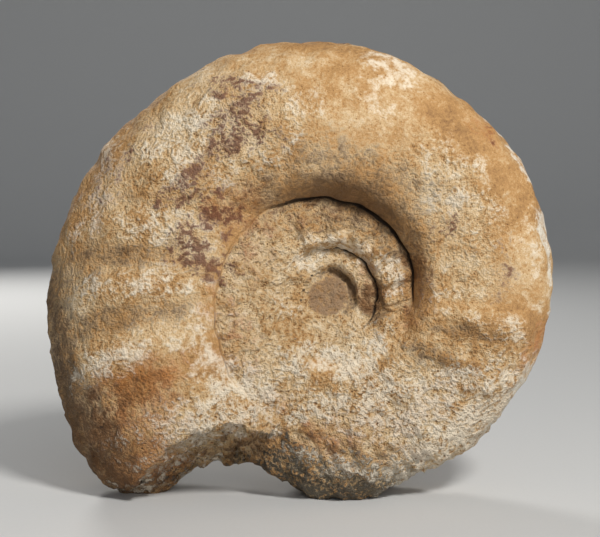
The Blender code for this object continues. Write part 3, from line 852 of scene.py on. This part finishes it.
def fine_relief(points, masks, along, into):
    """How far the weather has raised or worn each point along its normal."""
    x, y, z = points.T
    grit, bare = masks["grit"], masks["broken"]
    size, smooth, gritty = BIG_LUMPS
    relief = (smooth + gritty * grit) * lumps(points, size)
    worn = 1 - RIM_WEAR * ramp(np.hypot(x, z), *RIM_WEAR_RADII)
    size, smooth, gritty = SMALL_LUMPS
    relief = relief + (smooth + gritty * grit * worn) * lumps(points + 5.0, size)
    relief = relief - PIT_DEPTH * grit * ramp(lumps(points + 6.0, PIT_SIZE), *PIT_RANGE)
    relief = relief + RIND_THICKNESS * masks["rind"]

    # Clefts run down to the right, where the stone's layers weather out.
    turned = math.radians(CLEFT_TILT)
    down = x * math.cos(turned) + z * math.sin(turned)
    over = z * math.cos(turned) - x * math.sin(turned)
    cleft_places = np.stack([down, over, y], axis=1) / CLEFT_SIZES
    clefts = ramp(CLEFT_WIDTH - np.abs(lumps(cleft_places, 1.0)), 0.0, CLEFT_WIDTH)
    relief = relief - CLEFT_DEPTH * masks["cleft"] * clefts
    for hole_x, hole_z, radius, depth in np.array(HOLES_MM) * MM:
        relief = relief - depth * bump(np.hypot(x - hole_x, z - hole_z), 0.0, radius) * (y < 0)

    # The broken face shows the stone's layers as ledges along it.
    ledge_places = np.stack([along, into, y], axis=1) / LEDGE_SIZES
    small_ledges = np.abs(lumps(ledge_places * SMALL_LEDGES, 1.0))
    relief = relief + bare * (LEDGE_HEIGHT * lumps(ledge_places, 1.0) + SMALL_LEDGE_HEIGHT * small_ledges)
    relief = relief + bare * RUBBLE_HEIGHT * lumps(points + 9.0, RUBBLE_SIZE)
    return relief * (1 - np.clip(masks["seam"] * SEAM_CALM, 0.0, SEAM_CALM_MOST))


# The whole form strays sideways by up to this much, in lumps of this size. The weathered lumps stand out
# from the centre, but lean this much towards the flanks.
WARP, WARP_SIZE = 0.0022, 0.012
FLANK_LEAN = 3.0
# The span of relief over which a point goes from sunken to proud. Hollows are painted with shade, more of it
# in broken stone, and broken stone gets painted highlight where it stands out.
PROUD_RANGE = 0.0028
HOLLOW_RANGE, HOLLOW_SHADE, HOLLOW_MORE = (0.0004, 0.0018), 0.55, 0.45
PROUD_HIGHLIGHT, PROUD_HIGHLIGHT_RANGE = 0.8, (0.0001, 0.0012)


def stone_mesh(lowest, highest):
    """The fossil's fine surface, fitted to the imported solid's box."""
    grid, angle, broken, hidden = ring_surface()
    rings = len(grid)
    middles = [grid[0].mean(axis=0), grid[-1].mean(axis=0)]
    points = np.concatenate([grid.reshape(-1, 3), middles])
    angle = np.concatenate([angle.ravel(), [0.0, 0.0]])
    broken = np.concatenate([broken.ravel(), [False, False]])
    hidden = np.concatenate([hidden.ravel(), [0.0, 0.0]])

    outwards = points * (1.0, FLANK_LEAN, 1.0)
    outwards = outwards / np.linalg.norm(outwards, axis=1)[:, None]
    form = points
    sideways, up = lumps(form + 7.0, WARP_SIZE), lumps(form + 8.0, WARP_SIZE)
    points = points + WARP * np.stack([sideways, 0 * angle, up], axis=1)
    for size, height in LUMPS:
        points = points + outwards * (height * lumps(points, size))[:, None]

    mesh = bpy.data.meshes.new("ammonite_stone")
    mesh.from_pydata(points.tolist(), [], ring_faces(rings))
    mesh.update()
    normals = np.empty(len(points) * 3, np.float32)
    mesh.vertex_normals.foreach_get("vector", normals)
    masks = weathering(form, angle, broken, hidden)
    into, _, _, along = break_place(form[:, 0], form[:, 2])
    relief = fine_relief(form, masks, along, into)
    # How far each point stands proud. The stone's colour follows it as painted highlight and shade.
    masks["proud"] = np.clip(0.5 + relief / PROUD_RANGE, 0.0, 1.0)
    # Sunken points are painted with shade, and broken stone that stands proud with highlight.
    hollow = ramp(-relief, *HOLLOW_RANGE) * (HOLLOW_SHADE + HOLLOW_MORE * masks["broken"])
    masks["umber_and_shade"] = np.maximum(masks["umber_and_shade"], hollow)
    proud = PROUD_HIGHLIGHT * masks["broken"] * ramp(relief, *PROUD_HIGHLIGHT_RANGE)
    masks["chalk_and_highlight"] = np.maximum(masks["chalk_and_highlight"], proud)
    points = points + normals.reshape(-1, 3) * relief[:, None]

    # The feet are cut flat at the floor, and the whole is set in the solid's place.
    points[:, 2] = np.maximum(points[:, 2] + COIL_HEIGHT, 0.0)
    low, high = points.min(axis=0), points.max(axis=0)
    scale = (highest - lowest) / (high - low)
    points = lowest + (points - low) * scale
    mesh.vertices.foreach_set("co", points.astype(np.float32).ravel())
    for name, values in masks.items():
        layer = mesh.attributes.new(name, "FLOAT", "POINT")
        layer.data.foreach_set("value", values.astype(np.float32))
    mesh.update()
    mesh.shade_smooth()
    return mesh


# ---------------------------------------------------------------------------------------------------------
# Materials
# ---------------------------------------------------------------------------------------------------------

def colour(hex_value):
    """An sRGB hex value as the linear colour that the shader works in."""
    parts = [int(hex_value[i:i + 2], 16) / 255 for i in (0, 2, 4)]
    linear = [part / 12.92 if part <= 0.04045 else ((part + 0.055) / 1.055) ** 2.4 for part in parts]
    return (*linear, 1.0)


def add(tree, kind, inputs=None, **settings):
    """Adds a node. Each input is given a value, or another node's output to link."""
    node = tree.nodes.new(kind)
    for name, value in settings.items():
        setattr(node, name, value)
    for name, value in (inputs or {}).items():
        if isinstance(value, bpy.types.NodeSocket):
            tree.links.new(value, node.inputs[name])
        else:
            node.inputs[name].default_value = value
    return node


# A stain fades out where its cover is under a fifth, so that there is none where there is no cover.
COVER_GAIN = 5.0
# The average of a noise. As a cover it is even all over, so that only the patterns say where a stain shows.
EVEN = 0.5


def speckled(tree, cover, grains, start, end, most):
    """How much of a stain shows: its cover, broken up by the stone's patterns, each with its strength."""
    near = add(tree, "ShaderNodeMath", {0: cover, 1: COVER_GAIN},
               operation="MULTIPLY", use_clamp=True).outputs[0]
    for grain, strength in grains:
        centred = add(tree, "ShaderNodeMath", {0: grain, 1: EVEN}, operation="SUBTRACT").outputs[0]
        cover = add(tree, "ShaderNodeMath", {0: centred, 1: strength, 2: cover},
                    operation="MULTIPLY_ADD").outputs[0]
    shown = add(tree, "ShaderNodeMapRange",
                {"Value": cover, "From Min": start, "From Max": end, "To Max": most},
                interpolation_type="SMOOTHSTEP").outputs["Result"]
    return add(tree, "ShaderNodeMath", {0: shown, 1: near}, operation="MULTIPLY").outputs[0]


# The stone's own colours, from deep ochre to pale tan, and how strongly each pattern moves it between them.
BODY_COLOURS = ((0.0, "85603A"), (0.3, "B78C58"), (0.55, "CDAE83"), (0.8, "DDC6A3"), (1.0, "E9DCC5"))
# Of these, how far the stone stands proud moves it paler or darker, as painted highlight and shade.
BODY_PATTERNS = {"clouds": 0.8, "mottle": 0.6, "grain": 0.8, "fine": 0.3, "proud": 0.3, "grit": 0.22}
BODY_RANGE = (-0.05, 1.05, 1.0)

# The stone's patterns: clouds 40 mm across, mottling 9 mm, sand 2.2 mm and fine grain 0.8 mm. The real sand
# is about 1.5 mm across, and is drawn as coarse as it needs to be to show.
PATTERNS = {
    "clouds": {"Scale": 25.0, "Detail": 3.0},
    "mottle": {"Scale": 110.0, "Detail": 5.0, "Roughness": 0.7, "Distortion": 0.4},
    "sand": {"Scale": 460.0, "Detail": 2.0, "Roughness": 0.6},
    "fine": {"Scale": 1300.0, "Detail": 2.0},
}
# How much of its sand smooth stone shows in its colour, and in its relief. Gritty stone shows it all.
SMOOTH_GRAIN, SMOOTH_RELIEF = 0.45, 0.32
RELIEF_MOTTLE, RELIEF_DEPTH = 0.7, 4.8 * MM
# Limestone is dull, and its roughness goes with the mottling.
MOTTLE_RANGE, ROUGHNESS_RANGE = (0.3, 0.7), (0.78, 0.95)

# Stains in the order they lie, and painted shade among them: a mask or an even cover, colour, how strongly
# patterns break them up, the cover at which they start to show and are full, how strong they then are, and
# how they blend. Pale dust is first. Last is painted shade in the pits of the sand, more of it where the
# stone is gritty, and in the grooves and holes.
STAINS = (
    (EVEN, "E8D8BE", {"clouds": 1.0, "mottle": 1.4, "grain": 1.2, "fine": 0.8}, 0.52, 1.10, 0.42, "MIX"),
    ("broken", "B79A70", {"mottle": 4.0, "grain": 3.0}, 0.05, 1.20, 0.85, "MIX"),
    ("orange", "AB6829", {"mottle": 3.8, "grain": 1.4}, 0.10, 1.25, 0.82, "MIX"),
    # Umber stains, with painted shade at the foot of walls, in furrows, in hollows, in the moat and in some
    # dabs.
    ("umber_and_shade", "614325", {"mottle": 2.2, "grain": 2.2}, 0.05, 1.15, 0.88, "MIX"),
    # Grey grime, also painted shade along the bottom.
    ("grime_and_shade", "47433A", {"mottle": 3.0, "grain": 4.6}, 0.08, 1.00, 0.88, "MIX"),
    # Chalk, with painted highlight on rib crests and on broken stone that stands proud.
    ("chalk_and_highlight", "EADDC8", {"mottle": 4.0, "grain": 2.6}, 0.15, 1.20, 0.80, "MIX"),
    ("rust", "70452E", {"mottle": 3.6, "grain": 3.0}, 0.22, 1.00, 0.90, "MIX"),
    ("nucleus", "866A50", {"mottle": 1.4, "grain": 3.0}, 0.10, 1.10, 0.85, "MIX"),
    ("rind", "DFD8CA", {"mottle": 3.6, "grain": 3.0}, 0.25, 1.30, 0.88, "MIX"),
    # Painted shade in the pits where the sand's relief is lowest, and darker specks of it in the lowest.
    (EVEN, "BFA688", {"grain": -2.2, "fine": -1.2}, 0.64, 1.20, 0.90, "MULTIPLY"),
    (EVEN, "5A4129", {"fine": -2.6, "grain": -2.4}, 0.90, 1.30, 0.60, "MIX"),
    # Painted shade in the grooves and holes.
    ("seam", "302114", {"mottle": 0.6}, 0.25, 0.85, 0.95, "MIX"),
)
MASKS = ("grit", "proud", *(stain[0] for stain in STAINS if stain[0] != EVEN))


def limestone_body(tree, source):
    """The stone's own colour by cloud, mottling and grain, with painted highlight where it stands proud and
    painted shade where it is sunken.
    """
    tones = [(source[name], strength) for name, strength in BODY_PATTERNS.items()]
    body = add(tree, "ShaderNodeValToRGB", {"Fac": speckled(tree, EVEN, tones, *BODY_RANGE)})
    stops = body.color_ramp.elements
    while len(stops) < len(BODY_COLOURS):
        stops.new(0.5)
    for stop, (position, value) in zip(stops, BODY_COLOURS):
        stop.position, stop.color = position, colour(value)
    return body.outputs["Color"]


def weathered_limestone():
    """Limestone: a shell's cast of hardened lime mud, weathered in soil, brushed clean and never polished.
    The eye gets a dull ochre body with a sandy grain, chalky dust with painted highlight on what stands
    proud, stains of rust and umber, and painted shade in grooves, hollows and pits and along the bottom."""
    material = bpy.data.materials.new("weathered_ochre_limestone")
    material.use_nodes = True
    tree = material.node_tree
    shader = tree.nodes["Principled BSDF"]
    place = add(tree, "ShaderNodeTexCoord").outputs["Object"]
    source = {}
    for name in MASKS:
        source[name] = add(tree, "ShaderNodeAttribute", attribute_name=name).outputs["Fac"]
    for name, settings in PATTERNS.items():
        source[name] = add(tree, "ShaderNodeTexNoise", {"Vector": place, **settings}).outputs["Fac"]
    coarse = add(tree, "ShaderNodeMapRange", {"Value": source["grit"], "To Min": SMOOTH_GRAIN})
    source["grain"] = add(tree, "ShaderNodeMix", {0: coarse.outputs["Result"], 2: EVEN, 3: source["sand"]},
                          data_type="FLOAT").outputs[0]

    stone = limestone_body(tree, source)
    for where, shade, patterns, start, end, most, blend in STAINS:
        cover = source.get(where, where)
        grains = [(source[name], strength) for name, strength in patterns.items()]
        share = speckled(tree, cover, grains, start, end, most)
        stone = add(tree, "ShaderNodeMix", {0: share, 6: stone, 7: colour(shade)},
                    data_type="RGBA", blend_type=blend).outputs[2]
    tree.links.new(stone, shader.inputs["Base Color"])

    (low, high), (smoothest, dullest) = MOTTLE_RANGE, ROUGHNESS_RANGE
    roughness = add(tree, "ShaderNodeMapRange",
                    {"Value": source["mottle"], "From Min": low, "From Max": high,
                     "To Min": smoothest, "To Max": dullest})
    tree.links.new(roughness.outputs["Result"], shader.inputs["Roughness"])
    shader.inputs["IOR"].default_value = 1.5
    shader.inputs["Metallic"].default_value = 0.0

    # Grain too fine for the mesh. Gritty stone has the deeper grain.
    lift = add(tree, "ShaderNodeMath", {0: source["mottle"], 1: RELIEF_MOTTLE, 2: source["sand"]},
               operation="MULTIPLY_ADD").outputs[0]
    deepness = add(tree, "ShaderNodeMapRange", {"Value": source["grit"], "To Min": SMOOTH_RELIEF})
    bumps = add(tree, "ShaderNodeBump", {"Height": lift, "Strength": deepness.outputs["Result"],
                                         "Distance": RELIEF_DEPTH})
    tree.links.new(bumps.outputs["Normal"], shader.inputs["Normal"])
    return material


def matt_backdrop():
    """Painted board: rolled matt emulsion, which gives a plain pale floor with no gloss."""
    material = bpy.data.materials.new("matt_pale_board")
    material.use_nodes = True
    tree = material.node_tree
    shader = tree.nodes["Principled BSDF"]
    place = add(tree, "ShaderNodeTexCoord").outputs["Object"]
    nap = add(tree, "ShaderNodeTexNoise", {"Vector": place, "Scale": 400.0, "Detail": 2.0}).outputs["Fac"]
    tint = add(tree, "ShaderNodeMix", {0: nap, 6: colour("C9CACB"), 7: colour("CDCECF")}, data_type="RGBA")
    tree.links.new(tint.outputs[2], shader.inputs["Base Color"])
    shader.inputs["Roughness"].default_value = 0.9
    return material


# ---------------------------------------------------------------------------------------------------------
# Pieces, stage, lights and camera
# ---------------------------------------------------------------------------------------------------------

def place_stone():
    lowest, highest = (np.array(corner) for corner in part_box("ammonite"))
    stone = bpy.data.objects.new("ammonite_stone", stone_mesh(lowest, highest))
    stone.data.materials.append(weathered_limestone())
    bpy.context.scene.collection.objects.link(stone)
    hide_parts("ammonite")
    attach(stone, "root")


def place_floor():
    """A level floor that curves up into a backdrop a long way behind."""
    half_width, front, top = 9.0, -9.0, 3.0
    bend_start, bend_radius, bend_steps = 2.2, 0.8, 12
    profile = [(front, 0.0), (bend_start, 0.0)]
    for step in range(1, bend_steps + 1):
        turned = math.radians(90.0 * step / bend_steps)
        profile.append((bend_start + bend_radius * math.sin(turned), bend_radius * (1 - math.cos(turned))))
    profile.append((bend_start + bend_radius, top))
    points = [(x, y, z) for y, z in profile for x in (-half_width, half_width)]
    faces = [(2 * i, 2 * i + 1, 2 * i + 3, 2 * i + 2) for i in range(len(profile) - 1)]
    mesh = bpy.data.meshes.new("studio_floor")
    mesh.from_pydata(points, [], faces)
    mesh.shade_smooth()
    floor = bpy.data.objects.new("studio_floor", mesh)
    mesh.materials.append(matt_backdrop())
    bpy.context.scene.collection.objects.link(floor)


def place_light(name, position, target, size, watts, tint):
    lamp = bpy.data.lights.new(name, "AREA")
    lamp.shape = "DISK"
    lamp.size = size
    lamp.energy = watts
    lamp.color = colour(tint)[:3]
    light = bpy.data.objects.new(name, lamp)
    light.location = position
    light.rotation_mode = "QUATERNION"
    light.rotation_quaternion = (Vector(target) - Vector(position)).to_track_quat("-Z", "Y")
    bpy.context.scene.collection.objects.link(light)


def place_lights(middle):
    place_light("overhead_softbox", (0.58, -1.05, 1.2), middle, size=0.32, watts=21.5, tint="FFFCF6")
    place_light("front_fill", (0.6, -2.0, 0.65), middle, size=1.0, watts=8.0, tint="FFFFFF")
    place_light("back_softbox", (-0.7, 1.5, 0.9), middle, size=0.5, watts=14.0, tint="FFFCF6")
    world = bpy.data.worlds.new("studio_air")
    world.use_nodes = True
    world.node_tree.nodes["Background"].inputs["Color"].default_value = colour("E8ECF0")
    world.node_tree.nodes["Background"].inputs["Strength"].default_value = 0.18
    bpy.context.scene.world = world


def place_camera(middle):
    """A long lens at the height of a seated viewer's eye, a little above the stone."""
    focal, sensor, view_width, elevation = 80.0, 36.0, 0.3605, 4.0
    distance = view_width / 2 / (sensor / 2 / focal)
    turned = math.radians(elevation)
    back = Vector((0.0, -math.cos(turned), math.sin(turned)))
    camera = bpy.data.objects.new("camera", bpy.data.cameras.new("camera"))
    camera.data.lens = focal
    camera.data.sensor_width = sensor
    camera.location = Vector(middle) + back * distance
    camera.rotation_mode = "QUATERNION"
    camera.rotation_quaternion = (-back).to_track_quat("-Z", "Y")
    bpy.context.scene.collection.objects.link(camera)
    bpy.context.scene.camera = camera


place_stone()
place_floor()
stone_middle = (np.array(cad_box[0]) + np.array(cad_box[1])) / 2
place_lights(stone_middle)
place_camera(stone_middle)
bpy.context.scene.view_settings.view_transform = "Standard"
